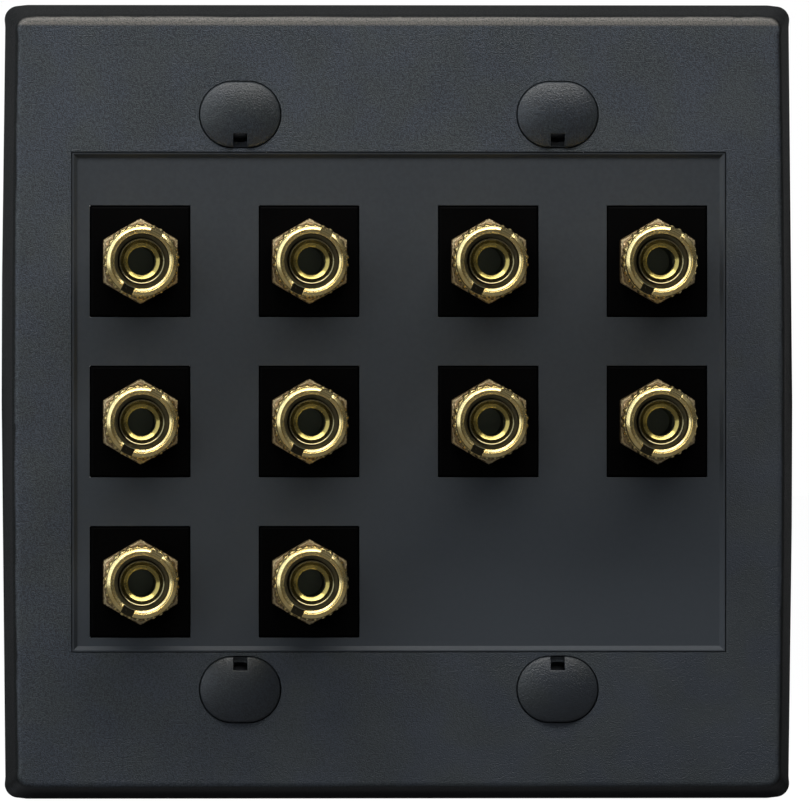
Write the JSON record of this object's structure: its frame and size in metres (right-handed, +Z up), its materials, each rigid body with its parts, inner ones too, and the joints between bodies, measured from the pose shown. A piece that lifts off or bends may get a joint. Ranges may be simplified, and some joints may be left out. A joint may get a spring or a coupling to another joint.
{
  "type": "speaker terminal plate",
  "caption": "Black wall plate: a grained frame around a smooth panel of keystone inserts, whose gold binding posts take banana plugs and clamp bare speaker wire.",
  "frame": {"origin": "in the wall's plane, centred between the four box screws", "axes": "+X to the right and +Z up as seen from the front; +Y into the wall, so the front faces -Y"},
  "size_m": [0.115, 0.041, 0.1152],
  "materials": {
    "frame_plastic": "moulded, fine leather-like grain, satin",
    "panel_plastic": "moulded, smooth, dull satin",
    "cover_plastic": "moulded, smooth, satin",
    "housing_plastic": "moulded, deep black, dull",
    "gold_polished": "turned brass, gold plated, bright",
    "gold_frosted": "brass, gold plated over a dull, tumbled surface",
    "screw_steel": "zinc plated",
    "lug_tin": "tin plated"
  },
  "bodies": {
    "plate": {"face_frame": "frame_plastic", "port_panel": "panel_plastic", "mounting_screws": "screw_steel", "rear_lugs": "lug_tin", "rear_nuts": "gold_frosted", "jack_housing_1": "housing_plastic", "binding_post_1": "gold_polished", "hex_nut_1": "gold_frosted", "jack_housing_2": "housing_plastic", "binding_post_2": "gold_polished", "hex_nut_2": "gold_frosted", "jack_housing_3": "housing_plastic", "binding_post_3": "gold_polished", "hex_nut_3": "gold_frosted", "jack_housing_4": "housing_plastic", "binding_post_4": "gold_polished", "hex_nut_4": "gold_frosted", "jack_housing_5": "housing_plastic", "binding_post_5": "gold_polished", "hex_nut_5": "gold_frosted", "jack_housing_6": "housing_plastic", "binding_post_6": "gold_polished", "hex_nut_6": "gold_frosted", "jack_housing_7": "housing_plastic", "binding_post_7": "gold_polished", "hex_nut_7": "gold_frosted", "jack_housing_8": "housing_plastic", "binding_post_8": "gold_polished", "hex_nut_8": "gold_frosted", "jack_housing_9": "housing_plastic", "binding_post_9": "gold_polished", "hex_nut_9": "gold_frosted", "jack_housing_10": "housing_plastic", "binding_post_10": "gold_polished", "hex_nut_10": "gold_frosted"},
    "screw_cover_top_left": {"screw_cover_top_left": "cover_plastic"},
    "screw_cover_top_right": {"screw_cover_top_right": "cover_plastic"},
    "screw_cover_bottom_left": {"screw_cover_bottom_left": "cover_plastic"},
    "screw_cover_bottom_right": {"screw_cover_bottom_right": "cover_plastic"},
    "clamp_washer_1": {"clamp_washer_1": "gold_polished"},
    "collar_1": {"collar_1": "gold_polished"},
    "clamp_washer_2": {"clamp_washer_2": "gold_polished"},
    "collar_2": {"collar_2": "gold_polished"},
    "clamp_washer_3": {"clamp_washer_3": "gold_polished"},
    "collar_3": {"collar_3": "gold_polished"},
    "clamp_washer_4": {"clamp_washer_4": "gold_polished"},
    "collar_4": {"collar_4": "gold_polished"},
    "clamp_washer_5": {"clamp_washer_5": "gold_polished"},
    "collar_5": {"collar_5": "gold_polished"},
    "clamp_washer_6": {"clamp_washer_6": "gold_polished"},
    "collar_6": {"collar_6": "gold_polished"},
    "clamp_washer_7": {"clamp_washer_7": "gold_polished"},
    "collar_7": {"collar_7": "gold_polished"},
    "clamp_washer_8": {"clamp_washer_8": "gold_polished"},
    "collar_8": {"collar_8": "gold_polished"},
    "clamp_washer_9": {"clamp_washer_9": "gold_polished"},
    "collar_9": {"collar_9": "gold_polished"},
    "clamp_washer_10": {"clamp_washer_10": "gold_polished"},
    "collar_10": {"collar_10": "gold_polished"}
  },
  "joints": [
    {"name": "collar_1_travel", "type": "slide", "parent": "plate", "child": "clamp_washer_1", "axis": [0, -1, 0], "range_m": [0, 0.00401]},
    {"name": "collar_1_turn", "type": "hinge", "parent": "clamp_washer_1", "child": "collar_1", "pos_m": [-0.0375, -0.0143, 0.0204], "axis": [0, -1, 0], "range_deg": [0, 1440]},
    {"name": "collar_2_travel", "type": "slide", "parent": "plate", "child": "clamp_washer_2", "axis": [0, -1, 0], "range_m": [0, 0.00401]},
    {"name": "collar_2_turn", "type": "hinge", "parent": "clamp_washer_2", "child": "collar_2", "pos_m": [-0.013, -0.0143, 0.0204], "axis": [0, -1, 0], "range_deg": [0, 1440]},
    {"name": "collar_3_travel", "type": "slide", "parent": "plate", "child": "clamp_washer_3", "axis": [0, -1, 0], "range_m": [0, 0.00401]},
    {"name": "collar_3_turn", "type": "hinge", "parent": "clamp_washer_3", "child": "collar_3", "pos_m": [0.013, -0.0143, 0.0204], "axis": [0, -1, 0], "range_deg": [0, 1440]},
    {"name": "collar_4_travel", "type": "slide", "parent": "plate", "child": "clamp_washer_4", "axis": [0, -1, 0], "range_m": [0, 0.00401]},
    {"name": "collar_4_turn", "type": "hinge", "parent": "clamp_washer_4", "child": "collar_4", "pos_m": [0.0375, -0.0143, 0.0204], "axis": [0, -1, 0], "range_deg": [0, 1440]},
    {"name": "collar_5_travel", "type": "slide", "parent": "plate", "child": "clamp_washer_5", "axis": [0, -1, 0], "range_m": [0, 0.00401]},
    {"name": "collar_5_turn", "type": "hinge", "parent": "clamp_washer_5", "child": "collar_5", "pos_m": [-0.0375, -0.0143, -0.00284], "axis": [0, -1, 0], "range_deg": [0, 1440]},
    {"name": "collar_6_travel", "type": "slide", "parent": "plate", "child": "clamp_washer_6", "axis": [0, -1, 0], "range_m": [0, 0.00401]},
    {"name": "collar_6_turn", "type": "hinge", "parent": "clamp_washer_6", "child": "collar_6", "pos_m": [-0.013, -0.0143, -0.00284], "axis": [0, -1, 0], "range_deg": [0, 1440]},
    {"name": "collar_7_travel", "type": "slide", "parent": "plate", "child": "clamp_washer_7", "axis": [0, -1, 0], "range_m": [0, 0.00401]},
    {"name": "collar_7_turn", "type": "hinge", "parent": "clamp_washer_7", "child": "collar_7", "pos_m": [0.013, -0.0143, -0.00284], "axis": [0, -1, 0], "range_deg": [0, 1440]},
    {"name": "collar_8_travel", "type": "slide", "parent": "plate", "child": "clamp_washer_8", "axis": [0, -1, 0], "range_m": [0, 0.00401]},
    {"name": "collar_8_turn", "type": "hinge", "parent": "clamp_washer_8", "child": "collar_8", "pos_m": [0.0375, -0.0143, -0.00284], "axis": [0, -1, 0], "range_deg": [0, 1440]},
    {"name": "collar_9_travel", "type": "slide", "parent": "plate", "child": "clamp_washer_9", "axis": [0, -1, 0], "range_m": [0, 0.00401]},
    {"name": "collar_9_turn", "type": "hinge", "parent": "clamp_washer_9", "child": "collar_9", "pos_m": [-0.0375, -0.0143, -0.02608], "axis": [0, -1, 0], "range_deg": [0, 1440]},
    {"name": "collar_10_travel", "type": "slide", "parent": "plate", "child": "clamp_washer_10", "axis": [0, -1, 0], "range_m": [0, 0.00401]},
    {"name": "collar_10_turn", "type": "hinge", "parent": "clamp_washer_10", "child": "collar_10", "pos_m": [-0.013, -0.0143, -0.02608], "axis": [0, -1, 0], "range_deg": [0, 1440]},
    {"name": "cover_top_left_pull", "type": "slide", "parent": "plate", "child": "screw_cover_top_left", "axis": [0, -1, 0], "range_m": [0, 0.018]},
    {"name": "cover_top_right_pull", "type": "slide", "parent": "plate", "child": "screw_cover_top_right", "axis": [0, -1, 0], "range_m": [0, 0.018]},
    {"name": "cover_bottom_left_pull", "type": "slide", "parent": "plate", "child": "screw_cover_bottom_left", "axis": [0, -1, 0], "range_m": [0, 0.018]},
    {"name": "cover_bottom_right_pull", "type": "slide", "parent": "plate", "child": "screw_cover_bottom_right", "axis": [0, -1, 0], "range_m": [0, 0.018]}
  ],
  "couplings": [
    {"joint": "collar_1_travel", "follows": "collar_1_turn", "m_per_rad": 0.00015915},
    {"joint": "collar_2_travel", "follows": "collar_2_turn", "m_per_rad": 0.00015915},
    {"joint": "collar_3_travel", "follows": "collar_3_turn", "m_per_rad": 0.00015915},
    {"joint": "collar_4_travel", "follows": "collar_4_turn", "m_per_rad": 0.00015915},
    {"joint": "collar_5_travel", "follows": "collar_5_turn", "m_per_rad": 0.00015915},
    {"joint": "collar_6_travel", "follows": "collar_6_turn", "m_per_rad": 0.00015915},
    {"joint": "collar_7_travel", "follows": "collar_7_turn", "m_per_rad": 0.00015915},
    {"joint": "collar_8_travel", "follows": "collar_8_turn", "m_per_rad": 0.00015915},
    {"joint": "collar_9_travel", "follows": "collar_9_turn", "m_per_rad": 0.00015915},
    {"joint": "collar_10_travel", "follows": "collar_10_turn", "m_per_rad": 0.00015915}
  ]
}
